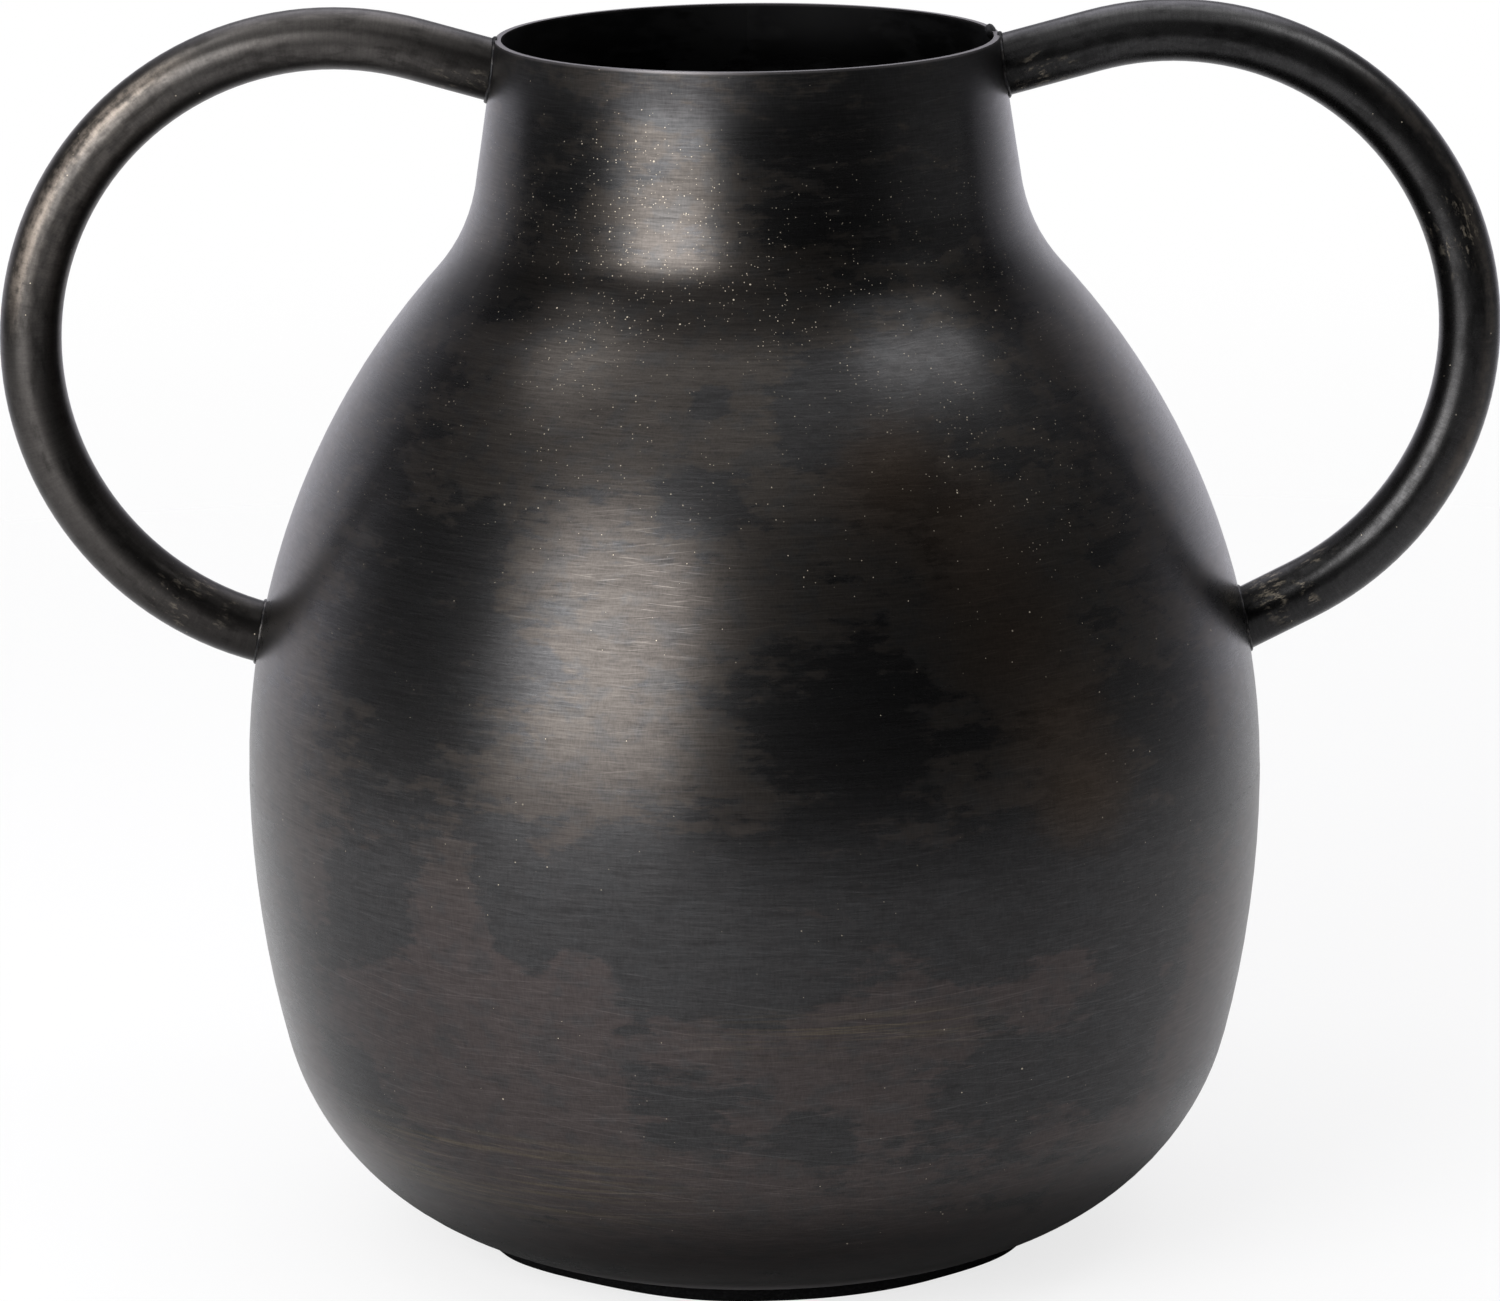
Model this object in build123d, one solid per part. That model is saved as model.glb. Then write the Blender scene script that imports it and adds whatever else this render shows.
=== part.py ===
from build123d import *
from math import asin, cos, degrees, radians, sin
import os

os.makedirs("parts", exist_ok=True)

# A two-handled urn vase of dark patinated sheet metal. The body is three turned sheets, a bowl, a
# shoulder and a neck, butt welded into one smooth vessel. Two bent tubes are coped to the body and
# welded on, and a felt pad is glued under the flat bottom.
# Millimetres and degrees. The origin is the middle of the pad's underside, +Z is up, and the handles
# lie along X.

# Body
sheet_thickness = 1.5
rim_height = 318.0          # lip above the table
mouth_diameter = 130.0      # outside of the lip
neck_taper = 8.6            # slope of the neck's side from the vertical
neck_bend_radius = 44.7     # hollow bend between neck and shoulder
shoulder_radius = 198.3     # outline arc above the widest line
belly_diameter = 266.2      # widest line
belly_depth = 193.7         # widest line below the lip
flank_radius = 282.8        # outline arc below the widest line
heel_radius = 71.2          # outline arc that turns under to the flat bottom
heel_slope = 15.0           # rise of the heel where it leaves the flat bottom

# Pad under the bottom
pad_inset = 2.0             # from the edge of the flat bottom
pad_thickness = 4.0
pad_edge_radius = 0.6

# Butt welds between the sheets, flush outside and slightly proud inside
seam_face_width = 4.0
seam_root_width = 1.5
seam_root_height = 0.8

# Handles: both tubes reach equally far and rise equally high, and each was bent by hand
tube_diameter = 16.0
tube_wall = 1.5
handle_reach = 195.2        # outermost point of the tube from the vase's axis
handle_rise = 8.6           # top of the tube above the lip
left_bend_radius = 79.8     # to the middle of the tube
left_neck_slope = 15.9      # fall of the straight run towards the neck
left_shoulder_slope = 12.0  # fall of the lower end towards the shoulder
right_bend_radius = 78.2
right_neck_slope = 14.6
right_shoulder_slope = 26.5

# Fillet welds round the tube ends
weld_leg = 2.0
weld_toe = 0.5              # thickness left at the bead's edges

mouth_radius = mouth_diameter / 2
belly_radius = belly_diameter / 2
belly_height = rim_height - belly_depth
tube_radius = tube_diameter / 2


def body_outline(grow=0.0):
    """The turned outline, from the middle of the bottom to a tube's width above the lip.

    A grown outline runs parallel to the body above the flat bottom.
    """
    slope = radians(neck_taper)
    down_the_neck = Vector(sin(slope), 0, -cos(slope))
    lip = Vector(mouth_radius + grow / cos(slope), 0, rim_height)
    widest = belly_radius + grow
    flank_arc = flank_radius + grow
    heel_arc = heel_radius + grow
    dome_arc = shoulder_radius + grow
    flank_middle = Vector(belly_radius - flank_radius, 0, belly_height)
    heel_lift = heel_radius * cos(radians(heel_slope))
    flank_to_heel = flank_radius - heel_radius
    flank_sweep = asin((belly_height - pad_thickness - heel_lift) / flank_to_heel)
    heel_middle = flank_middle + Vector(cos(flank_sweep), 0, -sin(flank_sweep)) * flank_to_heel
    heel_sweep = asin(heel_lift / heel_arc)
    base_edge = heel_middle + Vector(cos(heel_sweep), 0, -sin(heel_sweep)) * heel_arc
    with BuildLine(Plane.XZ) as outline:
        bottom = Line((0, pad_thickness), base_edge)
        flank = CenterArc(flank_middle, flank_arc, -degrees(flank_sweep), degrees(flank_sweep))
        RadiusArc(bottom @ 1, flank @ 0, -heel_arc)
        dome = CenterArc((widest - dome_arc, belly_height), dome_arc, 0, 80, mode=Mode.PRIVATE)
        neck = IntersectingLine(lip - down_the_neck * tube_diameter, down_the_neck, dome)
        RadiusArc(flank @ 1, neck @ 1, -dome_arc)
        fillet(outline.vertices().sort_by_distance(neck @ 1)[0], neck_bend_radius - grow)
    return outline.wire()


def body_section(outline):
    """Half of the space inside an outline, closed by a level lid and the vase's axis."""
    top = outline @ 1
    lid_and_axis = Polyline(top, Vector(0, 0, top.Z), outline @ 0)
    return make_face(outline.edges() + lid_and_axis.edges())


def sheet_section(outline):
    """Half of the sheet all round the body."""
    return make_face(offset(outline, sheet_thickness, side=Side.RIGHT, kind=Kind.INTERSECTION).edges())


def groove_section(point, outward):
    """A V groove through the sheet at a seam, with the weld's rounded root inside the body."""
    with BuildSketch(Plane(point, x_dir=outward, z_dir=(0, -1, 0))) as groove:
        with BuildLine():
            sides = Polyline(
                (-sheet_thickness, -seam_root_width / 2),
                (0, -seam_face_width / 2),
                (sheet_thickness, -seam_face_width / 2),
                (sheet_thickness, seam_face_width / 2),
                (0, seam_face_width / 2),
                (-sheet_thickness, seam_root_width / 2),
            )
            ThreePointArc(sides @ 1, (-sheet_thickness - seam_root_height, 0), sides @ 0)
        make_face()
    return groove.sketch


def turned(section):
    """A half section turned about the vase's axis, with the surface's own seam line at the back."""
    return Rot(Z=90) * revolve(section, axis=Axis.Z)


def between(low, high):
    """A band of the section plane between two heights."""
    band = Rectangle(belly_diameter, high - low, align=(Align.MIN, Align.MIN))
    return Plane.XZ * Pos(0, low) * band


def handle_line(bend_radius, neck_slope, shoulder_slope):
    """Middle line of a handle on the +X side, run on at both ends to the vase's axis."""
    bend_and_tube = bend_radius + tube_radius
    middle = (handle_reach - bend_and_tube, rim_height + handle_rise - bend_and_tube)
    with BuildLine(Plane.XZ) as line:
        bend = CenterArc(middle, bend_radius, 90 + neck_slope, shoulder_slope - neck_slope - 180)
        Line(bend @ 0, bend @ 0 - bend % 0 * ((bend @ 0).X / cos(radians(neck_slope))))
        Line(bend @ 1, bend @ 1 + bend % 1 * ((bend @ 1).X / cos(radians(shoulder_slope))))
    return line.wire()


def handle(line, core, weld_reach):
    """A handle's tube, coped to the body, and the welds at its neck end and its shoulder end."""
    across = Plane(line @ 0, z_dir=line % 0)
    rod = sweep(across * Circle(tube_radius), line)
    bore = sweep(across * Circle(tube_radius - tube_wall), line)
    grown_rod = sweep(across * Circle(tube_radius + weld_leg), line)
    tube = rod - bore - core
    collars = (grown_rod & weld_reach) - rod - core
    neck_weld, shoulder_weld = (
        fillet_weld(collar, rod, core) for collar in collars.solids().sort_by(Axis.Z, reverse=True)
    )
    return tube, neck_weld, shoulder_weld


def fillet_weld(collar, rod, core):
    """A collar in the corner of tube and body, bevelled to a fillet weld and dressed level with the lip."""
    crown = [
        edge
        for edge in collar.edges()
        if min(rod.distance_to(edge @ 0.5), core.distance_to(edge @ 0.5)) > weld_toe
    ]
    bead = collar.chamfer(weld_leg - weld_toe, None, crown)
    return split(bead, bisect_by=Plane.XY.offset(rim_height), keep=Keep.BOTTOM)


def felt_disc(radius):
    """A disc with softened edges."""
    disc = Cylinder(radius, pad_thickness, align=(Align.CENTER, Align.CENTER, Align.MIN))
    return fillet(disc.edges().filter_by(GeomType.CIRCLE), pad_edge_radius)


outline = body_outline()
bottom, _heel, _flank, dome, _neck_bend, neck_side = outline.edges()
belly_line = dome @ 0
neck_root = neck_side @ 0
inside = body_section(outline)
sheet = sheet_section(outline)
belly_groove = groove_section(belly_line, (1, 0, 0))
neck_groove = groove_section(neck_root, (cos(radians(neck_taper)), 0, sin(radians(neck_taper))))
bare_sheet = sheet - belly_groove - neck_groove

bowl = turned(bare_sheet & between(0, belly_line.Z))
shoulder = turned(bare_sheet & between(belly_line.Z, neck_root.Z))
neck = turned(bare_sheet & between(neck_root.Z, rim_height))
belly_seam = turned(inside & belly_groove)
neck_seam = turned(inside & neck_groove)

core = turned(inside)
weld_reach = turned(body_section(body_outline(weld_leg)))

right_handle, right_neck_weld, right_shoulder_weld = handle(
    handle_line(right_bend_radius, right_neck_slope, right_shoulder_slope), core, weld_reach
)
left_pieces = handle(
    handle_line(left_bend_radius, left_neck_slope, left_shoulder_slope), core, weld_reach
)
left_handle, left_neck_weld, left_shoulder_weld = (
    mirror(piece, about=Plane.YZ) for piece in left_pieces
)

base_pad = felt_disc((bottom @ 1).X - pad_inset)

nodes = {
    "bowl": bowl,
    "shoulder": shoulder,
    "neck": neck,
    "belly_seam": belly_seam,
    "neck_seam": neck_seam,
    "left_handle": left_handle,
    "left_neck_weld": left_neck_weld,
    "left_shoulder_weld": left_shoulder_weld,
    "right_handle": right_handle,
    "right_neck_weld": right_neck_weld,
    "right_shoulder_weld": right_shoulder_weld,
    "base_pad": base_pad,
}
for name, piece in nodes.items():
    export_step(piece, f"parts/{name}.step")
    print(name, "solids", len(piece.solids()), "volume", round(piece.volume))
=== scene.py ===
# %% [markdown]
# # A two-handled urn vase in dark patinated metal
# The imported part comes first. It is a fixed frame: its nodes keep their place and shape, and everything
# that this lesson makes is in the same frame, in metres, with the table at height 0. The box of a bare node
# can be read, and the felt pad takes its size from it. The finished model has to stay inside it.

# %% Load the part
from math import cos, radians, sin, tan

import bpy
from mathutils import Matrix, Quaternion, Vector


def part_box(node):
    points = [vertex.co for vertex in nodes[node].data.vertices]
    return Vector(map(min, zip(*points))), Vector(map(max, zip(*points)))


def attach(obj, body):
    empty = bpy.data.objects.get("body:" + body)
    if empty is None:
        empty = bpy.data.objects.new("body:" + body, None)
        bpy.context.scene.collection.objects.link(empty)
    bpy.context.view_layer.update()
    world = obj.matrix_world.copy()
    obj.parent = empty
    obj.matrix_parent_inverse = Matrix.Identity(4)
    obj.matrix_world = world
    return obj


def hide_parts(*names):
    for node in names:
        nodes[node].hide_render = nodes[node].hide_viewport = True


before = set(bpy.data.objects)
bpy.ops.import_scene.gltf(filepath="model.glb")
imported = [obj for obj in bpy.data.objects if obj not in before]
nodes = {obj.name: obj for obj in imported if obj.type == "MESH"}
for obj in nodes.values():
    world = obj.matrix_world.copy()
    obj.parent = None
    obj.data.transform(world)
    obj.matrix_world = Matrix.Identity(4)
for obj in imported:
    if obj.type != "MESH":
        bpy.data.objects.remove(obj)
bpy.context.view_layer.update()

bpy.ops.object.select_all(action="DESELECT")
print("nodes:", ", ".join(sorted(nodes)))

# %% [markdown]
# ## The camera
# The vase is seen from in front and a little above, through a long lens, so its sides hardly taper. A camera
# can be placed by eye, but here its place, tilt and lens follow from the ellipse of the mouth and the curve
# of the base. The small roll is that of a camera on a stand that wasn't quite level.

# %% Place the camera
MILLIMETRE = 0.001
camera_place = Vector((-0.9, -1699.2, 553.2)) * MILLIMETRE
camera_tilt = radians(90 - 13.17)
camera_roll = radians(-0.58)
lens_length = 159.2
sensor_width = 36.0

camera = bpy.data.objects.new("camera", bpy.data.cameras.new("camera"))
camera.data.lens = lens_length
camera.data.sensor_width = sensor_width
camera.matrix_world = (
    Matrix.Translation(camera_place)
    @ Matrix.Rotation(camera_tilt, 4, "X")
    @ Matrix.Rotation(camera_roll, 4, "Z")
)
bpy.context.scene.collection.objects.link(camera)
bpy.context.scene.camera = camera
bpy.context.scene.view_settings.view_transform = "Standard"
print("camera to the vase's axis:", round(-camera_place.y, 3), "m, lens", lens_length, "mm")

# %% [markdown]
# ## Wires: shader maths written as sums
# A material is a net of small nodes. Adding each one by hand makes long code that hides the idea, so one
# small class wraps a node's output. A sum or a product of wires adds its Math node by itself, and `node`
# adds any other node: its settings first, then the values or wires of its sockets.

# %% The wire class


class Wire:
    """An output of a node tree. Arithmetic on wires adds Math nodes to the tree."""

    def __init__(self, tree, socket=None):
        self.tree = tree
        self.socket = socket

    def node(self, kind, settings=None, sockets=None, output=0):
        """Adds a node with its settings, then the values or wires of its sockets, and gives one output."""
        made = self.tree.nodes.new(kind)
        for name, value in (settings or {}).items():
            setattr(made, name, value)
        for name, value in (sockets or {}).items():
            self.join(value, made.inputs[name])
        return Wire(self.tree, made.outputs[output])

    def join(self, value, socket):
        """Feeds a socket with a wire or a plain value."""
        if isinstance(value, Wire):
            self.tree.links.new(value.socket, socket)
        else:
            socket.default_value = value

    def out(self, name):
        """Another output of the same node."""
        return Wire(self.tree, self.socket.node.outputs[name])

    def maths(self, operation, *values):
        return self.node("ShaderNodeMath", {"operation": operation}, dict(enumerate(values)))

    def __add__(self, other):
        return self.maths("ADD", self, other)

    def __sub__(self, other):
        return self.maths("SUBTRACT", self, other)

    def __rsub__(self, other):
        return self.maths("SUBTRACT", other, self)

    def __mul__(self, other):
        return self.maths("MULTIPLY", self, other)

    __radd__ = __add__
    __rmul__ = __mul__


print("wires ready")


# %% Masks, colours and vectors
def axis_of(vector, axis):
    """One coordinate of a vector wire."""
    return vector.node("ShaderNodeSeparateXYZ", sockets={"Vector": vector}, output=axis)


def vectors(operation, first, second=(0, 0, 0), output="Vector"):
    """A Vector Math node. Its first vector is a wire, and a measure is its output called Value."""
    return first.node("ShaderNodeVectorMath", {"operation": operation}, {0: first, 1: second}, output)


def length_of(vector):
    """The length of a vector wire."""
    return vectors("LENGTH", vector, output="Value")


def highest(first, *others):
    """The greatest of some values, of which the first is a wire."""
    for other in others:
        first = first.maths("MAXIMUM", first, other)
    return first


def band(value, low, high):
    """A smooth step of a value, 0 up to low and 1 from high."""
    limits = {"Value": value, "From Min": low, "From Max": high}
    return value.node("ShaderNodeMapRange", {"interpolation_type": "SMOOTHSTEP"}, limits)


def blend(mask, under, over):
    """One colour over another, where the mask is 1."""
    return mask.node("ShaderNodeMix", {"data_type": "RGBA"}, {0: mask, 6: under, 7: over}, output=2)


print("masks ready")

# %% [markdown]
# ## The studio
# Polished dark metal has hardly any colour of its own: it shows what stands round it. So the studio is as
# important as the finish. A large soft box at the front left gives the tall soft patch on the belly and the
# neck, two smaller ones overhead light the shoulders, and the pale floor shows in the lower belly.
#
# To the camera the floor is nearly white and only keeps the shadow. To the metal it is darker under the
# vase and to the front right of it, as a real floor is where the vase and its surroundings shade it.

# %% The floor
plain_white = (1.0, 1.0, 1.0, 1.0)
plain_black = (0.0, 0.0, 0.0, 1.0)
floor_radius = 2.0
floor_fade = (0.45, 1.6)
floor_pale = (0.88, 0.88, 0.88, 1.0)
floor_shade = (0.15, 0.15, 0.15, 1.0)
foot_shade = (0.092, 0.148)
foot_middle = (0.010, -0.004, 0)
right_shade = 0.34
right_shade_across = (-0.12, 0.15)
right_shade_back = (-0.3, -0.05)
camera_share = 0.76

bpy.ops.mesh.primitive_circle_add(vertices=128, radius=floor_radius, fill_type="NGON")
floor = bpy.context.object
floor.name = "floor"

paper = bpy.data.materials.new("floor_paper")
paper.use_nodes = True
start = Wire(paper.node_tree)
floor_shader = paper.node_tree.nodes["Principled BSDF"]
floor_shader.inputs["Roughness"].default_value = 0.9
floor_shader.inputs["Specular IOR Level"].default_value = 0.1
floor_shader.inputs["Emission Strength"].default_value = 1.0
place = start.node("ShaderNodeTexCoord", output="Object")
rays = start.node("ShaderNodeLightPath", output="Is Camera Ray")
under_foot = 1 - band(vectors("DISTANCE", place, foot_middle, "Value"), *foot_shade)
to_the_right = band(axis_of(place, "X"), *right_shade_across) * right_shade
to_the_right = to_the_right * (1 - band(axis_of(place, "Y"), *right_shade_back))
shaded = rays.out("Is Glossy Ray") * highest(under_foot, to_the_right)
own_white = rays * camera_share
colour = blend(own_white, blend(shaded, floor_pale, floor_shade), plain_black)
start.join(colour, floor_shader.inputs["Base Color"])
start.join(blend(own_white, plain_black, plain_white), floor_shader.inputs["Emission Color"])
start.join(1 - band(length_of(place), *floor_fade), floor_shader.inputs["Alpha"])
floor.data.materials.append(paper)
print("floor", floor_radius, "m across its radius, fading from", floor_fade[0], "m")

# %% [markdown]
# The surroundings are white to the camera. The metal sees a studio instead: a bright, slightly cool backdrop
# that shows along the outline, where metal is seen at a grazing angle, a panel overhead, a brighter panel
# above and behind that shows on top of the tubes, and two dim walls. The side behind the camera is nearly
# dark, which keeps the right of the belly black. A picture of a real studio could stand here, but each of
# these panels is a smooth step of the direction of the ray, so each can be moved by itself.

# %% The surroundings
ambient = 0.74
front_level = 0.08
overhead_level = 1.06
above_level = 3.0
left_level = 0.5
right_level = 0.45
left_glow = 0.2
right_glow = 0.38
cool_tint = (1.0, 0.985, 1.07, 1.0)

# Where each panel starts or fades, as ranges of one coordinate of the ray's direction
backdrop_depth = (0.1, 0.6)
backdrop_top = (0.02, 0.45)
backdrop_right = (0.58, 0.85)
above_depth = (-0.18, 0.15)
above_height = (0.42, 0.75)
above_side = (0.3, 0.55)
overhead_height = (0.62, 0.82)
overhead_right = (0.05, 0.4)
left_side = (0.7, 0.96)
left_top = (-0.2, 0.12)
right_side = (0.75, 0.98)
right_top = (-0.12, 0.22)
glow_side = (0.55, 0.82)
glow_height = (0.3, 0.5)

world = bpy.data.worlds.new("studio")
bpy.context.scene.world = world
world.use_nodes = True
sky = Wire(world.node_tree)
background = world.node_tree.nodes["Background"]
direction = sky.node("ShaderNodeTexCoord", output="Generated")
across, backward, upward = (axis_of(direction, axis) for axis in "XYZ")
aside = sky.maths("ABSOLUTE", across)

behind = band(backward, *backdrop_depth)
backdrop = behind * (1 - 0.65 * band(upward, *backdrop_top)) * (1 - 0.45 * band(across, *backdrop_right))
above = band(backward, *above_depth) * band(upward, *above_height) * (1 - band(aside, *above_side))
overhead = band(upward, *overhead_height) * (1 - 0.12 * band(across, *overhead_right))
left_wall = band(0 - across, *left_side) * (1 - 0.7 * band(upward, *left_top))
right_wall = band(across, *right_side) * (1 - 0.5 * band(upward, *right_top))
glow = band(across, *glow_side) * right_glow + band(0 - across, *glow_side) * left_glow
mirrored = highest(
    glow * band(upward, *glow_height), front_level, backdrop, overhead * overhead_level,
    above * above_level, left_wall * left_level, right_wall * right_level,
)

rays = sky.node("ShaderNodeLightPath", output="Is Camera Ray")
seen = highest(rays, rays.out("Is Transmission Ray"))
glossy = rays.out("Is Glossy Ray")
level = seen + (1 - seen) * (glossy * mirrored + (1 - glossy) * ambient)
sky.join(blend(behind * (1 - seen), plain_white, cool_tint), background.inputs["Color"])
sky.join(level, background.inputs["Strength"])
print("surroundings: white to the camera, dim behind it")

# %% [markdown]
# The lamps are plain rectangles. A highlight on a turned body lies where the surface faces half way between
# the lamp and the camera, so its place gives the lamp's direction and its shape gives the lamp's turn. The
# spot on the right shoulder is long and level, which takes a box turned about its own axis.

# %% The soft boxes
vase_middle = Vector((0, 0, 0.2))


def soft_box(name, azimuth, elevation, distance, width, height, power, turn=0.0):
    """A rectangular lamp that faces the vase, turned about its own axis.

    Azimuth is from the camera's side towards the right.
    """
    level_part = cos(radians(elevation))
    away = Vector((
        level_part * sin(radians(azimuth)),
        -level_part * cos(radians(azimuth)),
        sin(radians(elevation)),
    ))
    lamp = bpy.data.lights.new(name, "AREA")
    lamp.shape = "RECTANGLE"
    lamp.size = width
    lamp.size_y = height
    lamp.energy = power
    box = bpy.data.objects.new(name, lamp)
    box.location = vase_middle + away * distance
    own_turn = Quaternion((0, 0, 1), radians(turn))
    box.rotation_euler = (away.to_track_quat("Z", "Y") @ own_turn).to_euler()
    bpy.context.scene.collection.objects.link(box)
    print(name, "at", [round(x, 2) for x in box.location])


soft_box("key_box", -33.5, 19, 1.25, width=0.7, height=0.8, power=9.1)
soft_box("key_spill", -37, 12.5, 1.35, width=1.1, height=1.17, power=8.2)
soft_box("left_top_box", -81, 56, 1.2, width=0.34, height=0.5, power=1.5)
soft_box("right_top_box", 79, 54, 1.2, width=0.62, height=0.28, power=1.9, turn=-34)


# %% [markdown]
# ## The patina of the body
# The sheet was darkened, rubbed back and waxed. Blue-black patina and brown worn patches lie side by side,
# fine brush marks run round the body, and small bright pits show where the metal was pitted before it
# was darkened. A picture could be wrapped on, but a net of noises has no seam and any sharpness. Each noise
# reads Object coordinates, and a stretch makes round spots into marks that run round the vase.

# %% Noises and spots
def noise(place, size, detail=3.0, roughness=0.5, stretch=(1.0, 1.0, 1.0), shift=0.0):
    """Soft random values from 0 to 1, in spots of about a size in millimetres."""
    scale = [1 / (size * MILLIMETRE * s) for s in stretch]
    mapping = {"Vector": place, "Scale": scale, "Location": (shift,) * 3}
    spots = place.node("ShaderNodeMapping", sockets=mapping)
    sockets = {"Vector": spots, "Scale": 1.0, "Detail": detail, "Roughness": roughness}
    return place.node("ShaderNodeTexNoise", sockets=sockets)


def spot(place, middle, reach):
    """A soft round spot: 1 in its middle and 0 from its reach outwards."""
    return 1 - band(vectors("DISTANCE", place, middle, "Value"), 0.0, reach)


print("noises ready")

# %% [markdown]
# Wear isn't spread evenly. It lies where hands and cloths went, so soft round spots lean the noises towards
# brown in some places and towards the dark patina in others. The noises then break up the edges. Rust
# runs down one path on the right, and gold streaks run level, low on the left and in the middle.

# %% Where the wear lies
brown_zones = [  # middle, reach, lean towards brown
    ((-0.018, -0.088, 0.240), 0.065, 0.09),
    ((-0.030, -0.115, 0.180), 0.075, 0.05),
    ((0.070, -0.090, 0.206), 0.060, 0.11),
    ((-0.0760, -0.1093, 0.126), 0.016, 0.12),
    ((-0.0755, -0.1095, 0.112), 0.020, 0.14),
    ((-0.0411, -0.1258, 0.103), 0.018, 0.16),
    ((0.074, -0.105, 0.097), 0.026, 0.13),
    ((0.030, -0.127, 0.090), 0.040, 0.12),
    ((-0.070, -0.105, 0.084), 0.050, 0.10),
    ((-0.040, -0.115, 0.045), 0.060, 0.08),
]
dark_zones = [  # middle, reach, lean towards the dark patina
    ((0.075, -0.030, 0.290), 0.050, 0.06),
    ((0.042, -0.078, 0.250), 0.060, 0.12),
    ((-0.0100, -0.0950, 0.2405), 0.009, 0.16),
    ((0.0170, -0.0985, 0.234), 0.020, 0.16),
    ((-0.0130, -0.1070, 0.2190), 0.022, 0.16),
    ((-0.085, -0.092, 0.178), 0.060, 0.08),
    ((0.030, -0.126, 0.160), 0.050, 0.07),
    ((0.0750, -0.1090, 0.124), 0.034, 0.13),
    ((0.010, -0.132, 0.118), 0.070, 0.08),
    ((-0.033, -0.129, 0.117), 0.035, 0.10),
    ((-0.0969, -0.0910, 0.116), 0.028, 0.14),
    ((0.0920, -0.0930, 0.113), 0.024, 0.12),
    ((-0.014, -0.132, 0.112), 0.035, 0.10),
    ((0.0550, -0.1190, 0.112), 0.034, 0.15),
    ((-0.0585, -0.1189, 0.110), 0.016, 0.12),
    ((0.0930, -0.0870, 0.080), 0.034, 0.16),
    ((-0.0350, -0.1210, 0.0785), 0.020, 0.15),
    ((-0.0746, -0.1022, 0.0774), 0.016, 0.13),
    ((0.060, -0.111, 0.074), 0.030, 0.14),
    ((-0.018, -0.125, 0.063), 0.025, 0.17),
    ((-0.102, -0.073, 0.058), 0.022, 0.12),
    ((0.0152, -0.1240, 0.0571), 0.018, 0.11),
]
rust_path = [
    (0.036, -0.102, 0.220), (0.050, -0.102, 0.210), (0.056, -0.103, 0.198),
    (0.064, -0.106, 0.183), (0.075, -0.105, 0.162), (0.081, -0.104, 0.146),
]
rust_reach = 0.030
streak_zones = [  # middle, reach, lowest and highest streak
    ((-0.066, -0.099, 0.048), 0.070, 0.028, 0.060),
    ((0.022, -0.123, 0.089), 0.050, 0.080, 0.098),
]
low_wear = 0.035
low_wear_fade = (0.092, 0.104)
print(len(brown_zones), "brown zones,", len(dark_zones), "dark zones")


# %% Wear masks
def stripe(value, rising, falling):
    """1 between two smooth steps of a value, one that rises and one that falls."""
    return band(value, *rising) * (1 - band(value, *falling))


def wear_masks(place, height):
    """Where the sheet is worn brown, where it is rusty, and where gold streaks run round it."""
    broad = noise(place, 60, 3, 0.55, stretch=(1.3, 1.3, 0.8), shift=0.31)
    ragged = noise(place, 11, 6, 0.68, stretch=(2.4, 2.4, 0.8), shift=2.7)
    frayed = noise(place, 2.6, 4, 0.7, stretch=(3, 3, 1), shift=5.2)
    lean = low_wear * (1 - band(height, *low_wear_fade))
    for middle, reach, amount in brown_zones:
        lean = lean + amount * spot(place, middle, reach)
    for middle, reach, amount in dark_zones:
        lean = lean - amount * spot(place, middle, reach)
    brown = band(0.44 * broad + 0.34 * ragged + 0.22 * frayed + lean, 0.475, 0.53)

    near_rust = highest(*(spot(place, middle, rust_reach) for middle in rust_path))
    rust = near_rust * band(0.42 * near_rust + 0.45 * ragged + 0.4 * frayed, 0.42, 0.66)

    rings = band(noise(place, 1.3, 3, 0.6, stretch=(45, 45, 1), shift=6.1), 0.46, 0.62)
    near_streaks = highest(*(
        spot(place, middle, reach) * stripe(height, (low, low + 0.008), (high - 0.010, high))
        for middle, reach, low, high in streak_zones
    ))
    return brown, rust, rings * near_streaks


print("wear masks ready")

# %% [markdown]
# The brush marks are noises drawn out round the vase, short ones and long ones, with a few upright ones
# from the last wipe, and thin scratches. They could be bumps, but marks this fine only change how light the
# metal looks, so they go into its colour and its gloss.

# %% Brush marks
scratched = (-0.024, -0.114, 0.197)
scratched_reach = 0.03
long_line_fade = (0.095, 0.115)
quiet_right = (0.015, 0.05)
quiet_low = (0.098, 0.125)


def scratches(place, width, length, slant, shift):
    """Thin broken lines round the vase, slanted a little from level."""
    mapping = {"Vector": place, "Location": (shift,) * 3, "Rotation": (0, radians(slant), 0)}
    mapping["Scale"] = [length * MILLIMETRE, length * MILLIMETRE, width * MILLIMETRE]
    lines = place.node("ShaderNodeMapping", {"vector_type": "TEXTURE"}, mapping)
    marks = place.node("ShaderNodeTexNoise", sockets={"Vector": lines, "Scale": 1.0, "Detail": 1.0})
    return band(marks, 0.64, 0.74)


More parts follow.
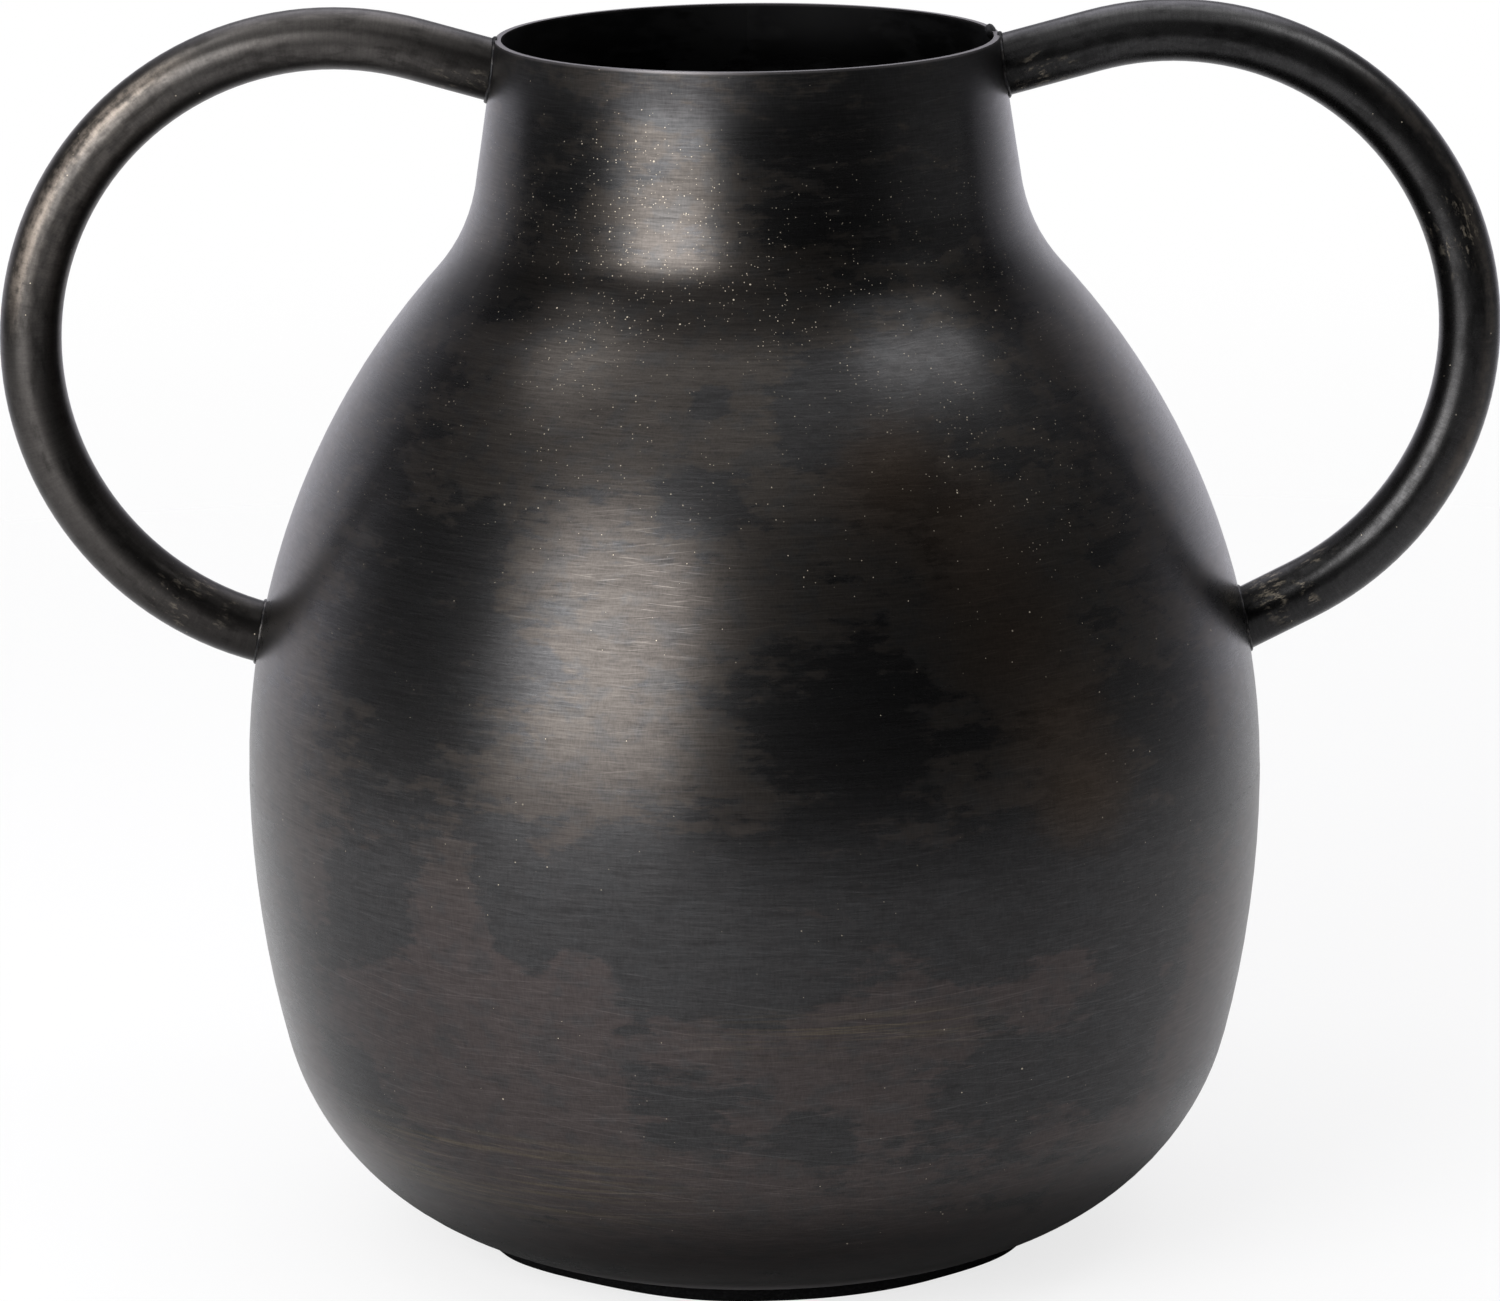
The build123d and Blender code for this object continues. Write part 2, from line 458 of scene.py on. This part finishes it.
def brush_marks(place, height, rubbed, brush):
    """How light the metal is, from short and long brush marks, upright wipes and scratches."""
    long_brush = noise(place, 0.5, 3, 0.65, stretch=(42, 42, 1), shift=8.8)
    upright = noise(place, 0.42, 2, 0.6, stretch=(1, 1, 7), shift=4.4)
    lines = highest(scratches(place, 0.3, 13, 5, 0.2), scratches(place, 0.3, 16, -7, 0.7))
    long_lines = highest(scratches(place, 0.35, 60, -5, 1.9), scratches(place, 0.35, 45, 8, 2.6))
    quiet = 1 - 0.55 * band(axis_of(place, "X"), *quiet_right)
    quiet = quiet * (0.55 + 0.45 * band(height, *quiet_low))
    tone = 1 + 0.55 * (rubbed - 0.5) + 0.8 * (brush - 0.5) + 0.55 * (upright - 0.5)
    tone = tone + quiet * (long_brush - 0.5)
    tone = tone + (0.3 + 0.8 * spot(place, scratched, scratched_reach)) * lines
    return tone + 0.4 * long_lines * (1 - band(height, *long_line_fade))


print("brush marks ready")

# %% [markdown]
# Some zones are paler or darker as a whole, a band in the hollow under the neck is darker, and the sheet is
# darker in the corners round the welds. The corners could be painted one by one, but the distance from the
# line of each tube gives them all. The beads will be laid along the same lines.

# %% Tube ends
tube_radius = 8.0 * MILLIMETRE


def tube_heading(slope, side):
    """The way a tube runs where it meets the body."""
    return (-side * cos(radians(slope)), 0, -sin(radians(slope)))


tube_ends = {  # a point on the tube's line at the joint, its heading, its side and the sheet it meets
    "left_neck": ((-0.0855, 0, 0.3155), tube_heading(15.9, -1), -1, "neck"),
    "left_shoulder": ((-0.150, 0, 0.1678), tube_heading(15.5, -1), -1, "shoulder"),
    "right_neck": ((0.0893, 0, 0.3161), tube_heading(14.6, 1), 1, "neck"),
    "right_shoulder": ((0.1439, 0, 0.1704), tube_heading(26.5, 1), 1, "shoulder"),
}
print("tube ends:", ", ".join(tube_ends))

# %% Paler zones and dark corners
pale_zones = [  # middle, reach, how much paler
    ((-0.096, -0.088, 0.168), 0.085, 0.5),
    ((-0.050, -0.117, 0.100), 0.070, 0.1),
    # partly a painted highlight: lightens the bottom of the neck's highlight, where pits crowd
    ((-0.020, -0.070, 0.273), 0.018, 0.5),
    ((0.062, -0.102, 0.198), 0.075, -0.38),
    ((-0.056, -0.040, 0.284), 0.035, -0.4),
    ((0.018, -0.076, 0.268), 0.030, -0.4),
]
hollow_low = (0.248, 0.258)
hollow_high = (0.264, 0.271)
corner_start = tube_radius + 0.7 * MILLIMETRE
corner_end = tube_radius + 2.4 * MILLIMETRE


def shade_zones(place, height, under_lip):
    """How much paler or darker whole zones are, with a darker band in the hollow and darker corners round the
    welds.
    """
    tone = 1 - 0.2 * under_lip
    for middle, reach, amount in pale_zones:
        tone = tone * (1 + amount * spot(place, middle, reach))
    tone = tone * (1 - 0.62 * stripe(height, hollow_low, hollow_high))
    for end, heading, side, _sheet in tube_ends.values():
        from_line = length_of(vectors("CROSS_PRODUCT", vectors("SUBTRACT", place, end), heading))
        corner = 1 - band(from_line, corner_start, corner_end)
        tone = tone * (1 - 0.6 * corner * band(side * axis_of(place, "X"), 0.0, 0.02))
    return tone


print(len(pale_zones), "paler or darker zones")

# %% [markdown]
# The pits are bright specks of two sizes. They crowd along the ground seam under the neck and on the
# shoulder, and a few places have many. Placing each by hand would take hundreds of points. A Voronoi texture
# gives one speck in each cell, and a share that changes over the body says how many of the cells have one.

# %% Pits
pit_crowds = [  # middle, reach, added share
    ((-0.026, -0.065, 0.284), 0.034, 0.6),
    ((-0.017, -0.071, 0.272), 0.020, 0.6),
    ((-0.0375, -0.0745, 0.2535), 0.030, 0.35),
    ((0.006, -0.083, 0.254), 0.020, 0.3),
    ((0.062, -0.087, 0.224), 0.055, 0.14),
]
seam_low, seam_high = (0.252, 0.268), (0.283, 0.30)
dome_low, dome_high = (0.18, 0.245), (0.275, 0.30)
sparse_right = (0.0, 0.03)
sparse_from = (0.262, 0.272)


def specks(place, spacing, radius, share):
    """Small round spots: one in each cell of a spacing, in the share of the cells that a mask gives."""
    scale = 1 / (spacing * MILLIMETRE)
    cells = place.node("ShaderNodeTexVoronoi", sockets={"Vector": place, "Scale": scale}, output="Distance")
    lot = axis_of(cells.out("Color"), "X")
    chosen = band(share - lot, 0.0, 0.02)
    size = 0.6 + 0.8 * axis_of(cells.out("Color"), "Y")
    edge = radius / spacing
    return chosen * (1 - band(cells - (size - 1) * edge, 0.6 * edge, edge))


def bright_pits(place, height, outside):
    """Specks on the outside of the sheet, crowded at the seam and on the shoulder."""
    seam_pits = stripe(height, seam_low, seam_high)
    dome_pits = stripe(height, dome_low, dome_high)
    crowding = band(noise(place, 22, 2, 0.5, shift=8.6), 0.45, 0.68)
    share = (0.05 + 0.14 * dome_pits + 0.16 * seam_pits) * (0.25 + 1.5 * crowding)
    share = share * (1 - 0.5 * band(axis_of(place, "X"), *sparse_right) * band(height, *sparse_from))
    crowd = highest(*(amount * spot(place, middle, reach) for middle, reach, amount in pit_crowds))
    share = (share + crowd) * outside
    dust = (share * 0.8 + 0.22 * seam_pits + 0.1 * dome_pits + 0.75 * crowd) * outside
    return highest(specks(place, 2.2, 0.22, share * 0.8), specks(place, 0.95, 0.13, dust))


print(len(pit_crowds), "crowds of pits")

# %% [markdown]
# Now the layers go over each other: dark patina and brown wear, grey islands, rust and gold streaks, all
# shaded by the brush marks, then a pale band at the foot's edge and the worn lip, and last the pits. A black
# paint would shine only at grazing angles. This metal is almost fully metallic with a dark colour, so it
# mirrors the studio dimly everywhere. The inside of the neck has one plain colour, darker than the patina:
# painted shade.

# %% The body's colours
blue_black = (0.0358, 0.0350, 0.0357, 1)
brown_wear = (0.0484, 0.0413, 0.0404, 1)
olive_wear = (0.0464, 0.0413, 0.0378, 1)
rust_brown = (0.0540, 0.0420, 0.0340, 1)
cool_grey = (0.0370, 0.0373, 0.0385, 1)
gold_streak = (0.074, 0.062, 0.048, 1)
bright_pit = (0.42, 0.37, 0.30, 1)
edge_wear = (0.115, 0.108, 0.112, 1)
# a pale band along the foot's edge
pale_foot_edge = (0.20, 0.19, 0.196, 1)
# painted shade: the inside of the neck is one plain colour, darker than the patina
painted_inside_shade = (0.026, 0.026, 0.027, 1)


def scaled(colour, tone):
    """A colour made lighter or darker."""
    return tone.node("ShaderNodeVectorMath", {"operation": "SCALE"}, {0: colour, "Scale": tone})


print("body colours ready")

# %% The body's finish
mouth_radius = 65.0 * MILLIMETRE
lip_height = 318.0 * MILLIMETRE
neck_slope = tan(radians(8.6))
through_sheet = (-1.1 * MILLIMETRE, -0.4 * MILLIMETRE)
neck_from = (0.2, 0.22)
foot_edge_range = (4.8 * MILLIMETRE, 12 * MILLIMETRE)
lip_edge_range = (317.2 * MILLIMETRE, 317.8 * MILLIMETRE)
under_lip_range = (0.302, 0.314)
olive_range = (0.1, 0.16)


def new_finish(name):
    """A material, the start of its net and its shader."""
    material = bpy.data.materials.new(name)
    material.use_nodes = True
    return material, Wire(material.node_tree), material.node_tree.nodes["Principled BSDF"]


def outside_of(place, height):
    """1 on the outside of the sheet. Below the neck both sides count as outside."""
    radius = length_of(vectors("MULTIPLY", place, (1, 1, 0)))
    cone = mouth_radius + (lip_height - height) * neck_slope
    return highest(band(radius - cone, *through_sheet), 1 - band(height, *neck_from))


def patina_sheet():
    """Dark patina with brown wear, brush marks round the body and bright pits."""
    material, start, shader = new_finish("patina_sheet")
    place = start.node("ShaderNodeTexCoord", output="Object")
    height = axis_of(place, "Z")
    outside = outside_of(place, height)
    brown, rust, streaks = wear_masks(place, height)
    rubbed = noise(place, 2.2, 4, 0.7, stretch=(3, 3, 1), shift=1.1)
    brush = noise(place, 0.36, 3, 0.7, stretch=(11, 11, 1), shift=3.3)
    under_lip = band(height, *under_lip_range)
    tone = brush_marks(place, height, rubbed, brush) * shade_zones(place, height, under_lip)
    pits = bright_pits(place, height, outside)

    worn = blend(band(height, *olive_range), brown_wear, olive_wear)
    islands = band(noise(place, 5.5, 3, 0.6, stretch=(1.3, 1.3, 1), shift=7.1), 0.47, 0.64)
    colour = blend(islands * 0.5, blend(brown, blue_black, worn), cool_grey)
    colour = scaled(blend(streaks, blend(rust, colour, rust_brown), gold_streak), tone)
    foot_edge = 1 - band(height, *foot_edge_range)
    # painted shade on the inside of the neck, a pale band at the foot's edge outside
    colour = blend(outside, painted_inside_shade, blend(foot_edge * 0.8, colour, pale_foot_edge))
    lip_edge = band(height, *lip_edge_range)
    colour = blend(pits, blend(lip_edge, colour, edge_wear), bright_pit)
    start.join(colour, shader.inputs["Base Color"])

    gloss = 0.275 + 0.02 * brown - 0.06 * (rubbed - 0.5) - 0.08 * (brush - 0.5) + 0.13 * under_lip
    start.join(gloss + 0.25 * pits + 0.2 * foot_edge, shader.inputs["Roughness"])
    start.join(1 - 0.06 * brown - 0.7 * foot_edge, shader.inputs["Metallic"])
    print(material.name, len(material.node_tree.nodes), "nodes")
    return material


sheet_finish = patina_sheet()
for name in ("bowl", "shoulder", "neck", "belly_seam", "neck_seam"):
    nodes[name].material_slots[0].material = sheet_finish

# %% [markdown]
# ## The handles' finish
# The tubes were rubbed across their length, so their marks run round the tube and not round the vase. A noise
# in plain coordinates would cut straight through the bend. The place along a bent tube is the angle about the
# middle of its bend, and a noise that is read at that angle gives cross marks all the way along. The angle
# round the tube itself tells the outer side from the inner. The left tube is worn pale on its outer front,
# where a hand holds it, and this pale band is also set where the highlight falls, so it is partly a painted
# highlight. The right one is dark, with chips. The ends are burnt dark by the welding.

# %% The tube finish
worn_streak = (0.160, 0.138, 0.108, 1)
unroll_radius = 0.08


def unroll(place, bend_middle, bend_radius, outward):
    """Coordinates along a bent tube, the angle of the bend, and the angle round the tube from its front."""
    from_middle = vectors("SUBTRACT", place, bend_middle)
    side, depth, rise = (axis_of(from_middle, axis) for axis in "XYZ")
    angle = place.maths("ARCTAN2", rise, side * outward)
    along = {"X": angle * unroll_radius, "Y": depth, "Z": length_of(from_middle)}
    in_plane = length_of(vectors("MULTIPLY", from_middle, (1, 0, 1)))
    around = place.maths("ARCTAN2", in_plane - bend_radius, 0 - depth)
    return place.node("ShaderNodeCombineXYZ", sockets=along), angle, around


def chip_mask(place, unrolled, chipped, chip_share):
    """Flaked places near some spots of the tube."""
    flaked = band(noise(unrolled, 1.3, 5, 0.75, stretch=(3, 1, 1), shift=9.3), 0.52, 0.62)
    flaked = flaked * band(noise(place, 7, 2, 0.5, shift=4.1), 0.44, 0.56) * chip_share
    near_chips = highest(*(spot(place, middle, reach) for middle, reach in chipped))
    return band(near_chips, 0.05, 0.6) * flaked


def patina_tube(name, bend, joints, chipped, chip_share, polish, dark, worn, worn_from, worn_to):
    """Dark patina on a bent tube, rubbed across, and worn lighter between two angles of its bend, partly as a
    painted highlight.
    """
    material, start, shader = new_finish(name)
    place = start.node("ShaderNodeTexCoord", output="Object")
    unrolled, angle, around = unroll(place, *bend)
    cross = noise(unrolled, 0.5, 2, 0.6, stretch=(1, 14, 14), shift=1.7)
    lengthwise = noise(unrolled, 4, 4, 0.6, stretch=(5, 1, 1), shift=6.4)
    fine = noise(place, 2.5, 3, 0.6, shift=3.9)
    grain = noise(place, 0.6, 3, 0.7, shift=5.7)
    stain = band(noise(unrolled, 5, 4, 0.65, stretch=(2.4, 1, 1), shift=2.9), 0.46, 0.62)

    zone = stripe(angle, (worn_from - 0.15, worn_from + 0.15), (worn_to - 0.2, worn_to + 0.2))
    # turns the pale band towards where the highlight falls, so it is partly a painted highlight
    around = around - 0.05 * band(angle, 0.5, 0.75)
    rubbed_and_highlit_side = stripe(around, (0.17, 0.55), (0.68, 0.98))
    mottle = band(0.6 * lengthwise + 0.4 * fine, 0.4, 0.57)
    # the pale patch: wear, and partly a painted highlight
    worn_and_highlit_patch = zone * (0.08 + 0.92 * rubbed_and_highlit_side) * (0.22 + 0.78 * mottle)
    tone = 1 + 0.5 * (cross - 0.5) + 0.4 * (fine - 0.5) + 0.6 * (grain - 0.5)
    tone = tone * (1.1 - 0.4 * stain * (1 - 0.7 * worn_and_highlit_patch))
    for joint, reach, amount in joints:
        tone = tone * (1 - amount * spot(place, joint, reach))
    chips = chip_mask(place, unrolled, chipped, chip_share)
    pits = specks(place, 1.5, 0.17, 0.04 + 0.06 * zone)

    colour = blend(chips, scaled(blend(worn_and_highlit_patch, dark, worn), tone), worn_streak)
    start.join(blend(pits, colour, bright_pit), shader.inputs["Base Color"])
    gloss = polish + 0.06 * worn_and_highlit_patch - 0.08 * (cross - 0.5) - 0.1 * (grain - 0.5)
    start.join(gloss + 0.12 * chips + 0.25 * pits, shader.inputs["Roughness"])
    start.join(1 - 0.06 * worn_and_highlit_patch - 0.25 * chips, shader.inputs["Metallic"])
    print(material.name, len(material.node_tree.nodes), "nodes")
    return material


# %% Finish both tubes
# the left tube's pale worn colour is partly a painted highlight
nodes["left_handle"].material_slots[0].material = patina_tube(
    "patina_left_tube",
    bend=((-0.1074, 0, 0.2388), 0.0798, -1),
    joints=[((-0.0665, 0, 0.311), 0.034, 0.6), ((-0.128, 0, 0.162), 0.075, 0.6)],
    chipped=[((-0.074, -0.007, 0.306), 0.012), ((-0.146, -0.005, 0.176), 0.02)],
    chip_share=0.4, polish=0.33,
    dark=(0.0505, 0.047, 0.0447, 1), worn=(0.265, 0.226, 0.193, 1), worn_from=0.15, worn_to=1.0,
)
nodes["right_handle"].material_slots[0].material = patina_tube(
    "patina_right_tube",
    bend=((0.109, 0, 0.2404), 0.0782, 1),
    joints=[((0.0665, 0, 0.3104), 0.03, 0.5), ((0.128, 0, 0.1625), 0.04, 0.5)],
    chipped=[
        ((0.077, -0.0065, 0.3075), 0.012),
        ((0.141, -0.005, 0.1755), 0.018),
        ((0.1795, -0.0073, 0.266), 0.017),
    ],
    chip_share=0.9, polish=0.28,
    dark=(0.036, 0.0355, 0.036, 1), worn=(0.052, 0.046, 0.042, 1), worn_from=-0.6, worn_to=0.9,
)

# %% [markdown]
# ## The weld beads
# Each tube end is welded all round. The bead is thin and a little uneven, laid by hand and then rubbed
# smooth. Its path could be drawn by hand, but a ring as wide as the tube, thrown along the tube's own line
# onto the body, lands just where they meet. The ring becomes a round bead, and a little randomness gives it
# the hand-laid look.

# %% Lay the beads
bead_radius = 0.85 * MILLIMETRE
bead_wobble = 0.55 * MILLIMETRE


def weld_bead(name, start_point, heading, sheet, seed):
    """A bead round a tube that runs from a point, in a heading, onto a sheet of the body."""
    bpy.ops.object.select_all(action="DESELECT")
    turn = Vector(heading).to_track_quat("Z", "Y").to_euler()
    bpy.ops.mesh.primitive_circle_add(vertices=120, radius=tube_radius, location=start_point, rotation=turn)
    bead = bpy.context.object
    bead.name = name
    thrown = bead.modifiers.new("thrown", "SHRINKWRAP")
    thrown.wrap_method = "PROJECT"
    thrown.target = nodes[sheet]
    thrown.use_project_z = True
    thrown.use_positive_direction = True
    bpy.ops.object.modifier_apply(modifier="thrown")
    bpy.ops.object.transform_apply(location=True, rotation=True, scale=True)
    bpy.ops.object.convert(target="CURVE")
    bead.data.bevel_depth = bead_radius
    bead.data.bevel_resolution = 3
    bpy.ops.object.convert(target="MESH")
    bpy.ops.object.mode_set(mode="EDIT")
    bpy.ops.mesh.select_all(action="SELECT")
    bpy.ops.mesh.remove_doubles(threshold=0.01 * MILLIMETRE)
    bpy.ops.mesh.normals_make_consistent(inside=False)
    bpy.ops.transform.vertex_random(offset=bead_wobble, seed=seed)
    bpy.ops.mesh.vertices_smooth(factor=0.5, repeat=4)
    bpy.ops.object.mode_set(mode="OBJECT")
    bpy.ops.object.shade_smooth()
    print(name, len(bead.data.polygons), "faces")
    return bead


beads = {
    place: weld_bead(place + "_bead", end, heading, sheet, seed)
    for seed, (place, (end, heading, _side, sheet)) in enumerate(tube_ends.items(), 1)
}

# %% [markdown]
# Behind the right tube a short run of weld metal stands up over the lip, because it wasn't dressed away
# there. It could be sculpted, but it is so small that a ball will do, drawn out along the lip and made
# uneven. It is joined to that tube's bead.

# %% Raise the run behind the lip
run_bearing = radians(9.0)
run_radius, run_height = 63.9, 317.3
run_middle = Vector((run_radius * cos(run_bearing), run_radius * sin(run_bearing), run_height)) * MILLIMETRE
run_size = Vector((1.1, 5.8, 1.9)) * MILLIMETRE
run_wobble = 0.4 * MILLIMETRE

bpy.ops.object.select_all(action="DESELECT")
bpy.ops.mesh.primitive_uv_sphere_add(
    segments=24, ring_count=16, radius=1, location=run_middle,
    rotation=(0, 0, run_bearing), scale=run_size,
)
run = bpy.context.object
run.name = "run_of_weld"
bpy.ops.object.transform_apply(location=True, rotation=True, scale=True)
bpy.ops.object.mode_set(mode="EDIT")
bpy.ops.mesh.select_all(action="SELECT")
bpy.ops.transform.vertex_random(offset=run_wobble, seed=5)
bpy.ops.mesh.vertices_smooth(factor=0.5, repeat=3)
bpy.ops.object.mode_set(mode="OBJECT")
bpy.ops.object.shade_smooth()
beads["right_neck"].select_set(True)
bpy.context.view_layer.objects.active = beads["right_neck"]
bpy.ops.object.join()
for place, bead in beads.items():
    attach(bead, "root")
    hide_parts(place + "_weld")
print("right neck bead", len(beads["right_neck"].data.polygons), "faces with its run")

# %% [markdown]
# The beads get a dark patina without the cross marks, worn lighter in patches. The crown could be picked out
# by its curvature, but on so thin a bead a plain noise looks as real. What lies over the lip is burnt black.

# %% The bead finish
bead_dark = (0.018, 0.018, 0.019, 1)
bead_worn = (0.060, 0.056, 0.053, 1)
bead_burnt = (0.010, 0.010, 0.010, 1)
burnt_range = (316.2 * MILLIMETRE, 317.6 * MILLIMETRE)


def patina_bead():
    """Dark patina on rough weld metal."""
    material, start, shader = new_finish("patina_bead")
    place = start.node("ShaderNodeTexCoord", output="Object")
    grain = noise(place, 2.2, 4, 0.65, shift=2.2)
    burnt = band(axis_of(place, "Z"), *burnt_range)
    colour = blend(burnt, blend(band(grain, 0.45, 0.68), bead_dark, bead_worn), bead_burnt)
    start.join(colour, shader.inputs["Base Color"])
    start.join(0.28 + 0.2 * grain + 0.2 * burnt, shader.inputs["Roughness"])
    shader.inputs["Metallic"].default_value = 1.0
    print(material.name, len(material.node_tree.nodes), "nodes")
    return material


bead_finish = patina_bead()
for bead in beads.values():
    bead.data.materials.append(bead_finish)

# %% [markdown]
# ## The felt pad
# A disc of black felt is glued under the bottom so that the metal doesn't scratch the table. Felt is cut
# with shears, and the weight of the vase presses it, so its edge is soft, bulges a little and isn't quite
# even. A plain cylinder would look machined. A circle is raised in rings instead, each a little wider or
# narrower, which gives the bulge.

# %% Cut and press the felt
pad_low, pad_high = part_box("base_pad")
pad_radius = pad_high[0]
pad_height = pad_high[2] - pad_low[2]
foot_radius = pad_radius - 0.35 * MILLIMETRE
edge_rings = [(0.15, 0.3), (0.5, 0.55), (0.85, 0.3), (1.0, -0.35)]  # share of the height, bulge in mm
top_inset = 12 * MILLIMETRE

bpy.ops.object.select_all(action="DESELECT")
bpy.ops.mesh.primitive_circle_add(vertices=240, radius=foot_radius, fill_type="NGON")
felt = bpy.context.object
felt.name = "felt_pad"
bpy.ops.object.mode_set(mode="EDIT")
bpy.ops.mesh.select_all(action="SELECT")
wide, low = foot_radius, 0.0
for share, bulge in edge_rings:
    rise = share * pad_height
    bpy.ops.mesh.extrude_region_move(TRANSFORM_OT_translate={"value": (0, 0, rise - low)})
    grow = (pad_radius + bulge * MILLIMETRE) / wide
    bpy.ops.transform.resize(value=(grow, grow, 1), center_override=(0, 0, rise))
    wide, low = wide * grow, rise
bpy.ops.mesh.inset(thickness=top_inset)
bpy.ops.mesh.select_all(action="SELECT")
bpy.ops.mesh.normals_make_consistent(inside=False)
bpy.ops.object.mode_set(mode="OBJECT")
print("felt", len(felt.data.polygons), "faces before the cut")

# %% [markdown]
# The shears left corners and flats. A short stretch of the edge is pulled out or pushed in, and proportional
# editing carries its neighbours along, as when a soft edge is pulled by hand.

# %% Trim the felt's edge
cut_corners = [  # bearing, pull in mm, reach in mm
    (206, 2.6, 26), (236, -0.9, 20), (262, 0.5, 16), (334, 2.2, 30), (75, -0.7, 30), (140, 0.6, 26),
]


def trim(piece, bearing, out, reach):
    """Pulls a stretch of the edge outwards, or pushes it in, as uneven shears leave it."""
    way = Vector((cos(radians(bearing)), sin(radians(bearing)), 0))
    bpy.ops.object.mode_set(mode="EDIT")
    bpy.ops.mesh.select_all(action="DESELECT")
    bpy.ops.object.mode_set(mode="OBJECT")
    for vertex in piece.data.vertices:
        side = vertex.co.to_2d()
        vertex.select = side.length > pad_radius * 0.95 and side.angle(way.to_2d()) < radians(1)
    bpy.ops.object.mode_set(mode="EDIT")
    bpy.ops.transform.translate(
        value=way * out * MILLIMETRE, use_proportional_edit=True,
        proportional_edit_falloff="SMOOTH", proportional_size=reach * MILLIMETRE,
    )
    bpy.ops.object.mode_set(mode="OBJECT")


bpy.context.tool_settings.mesh_select_mode = (True, False, False)
for bearing, out, reach in cut_corners:
    trim(felt, bearing, out, reach)
bpy.ops.object.shade_smooth_by_angle(angle=radians(40))
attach(felt, "root")
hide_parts("base_pad")
widest = max(vertex.co.to_2d().length for vertex in felt.data.vertices)
print("felt reaches", round(widest / MILLIMETRE, 1), "mm from the middle")

# %% [markdown]
# Felt is matted fibre: nearly black, quite matt, with a fine uneven grain. Real hairs could be grown on it,
# but only a thin dark band of it is seen, so a fine noise is enough.

# %% The felt's finish
fibre_dark = (0.0018, 0.0018, 0.002, 1)
fibre_pale = (0.007, 0.007, 0.0074, 1)


def black_felt():
    """Matted dark fibres."""
    material, start, shader = new_finish("black_felt")
    place = start.node("ShaderNodeTexCoord", output="Object")
    fibres = noise(place, 0.7, 5, 0.7, shift=1.9)
    start.join(blend(band(fibres, 0.4, 0.7), fibre_dark, fibre_pale), shader.inputs["Base Color"])
    shader.inputs["Roughness"].default_value = 0.95
    shader.inputs["Specular IOR Level"].default_value = 0.1
    print(material.name, len(material.node_tree.nodes), "nodes")
    return material


felt.data.materials.append(black_felt())
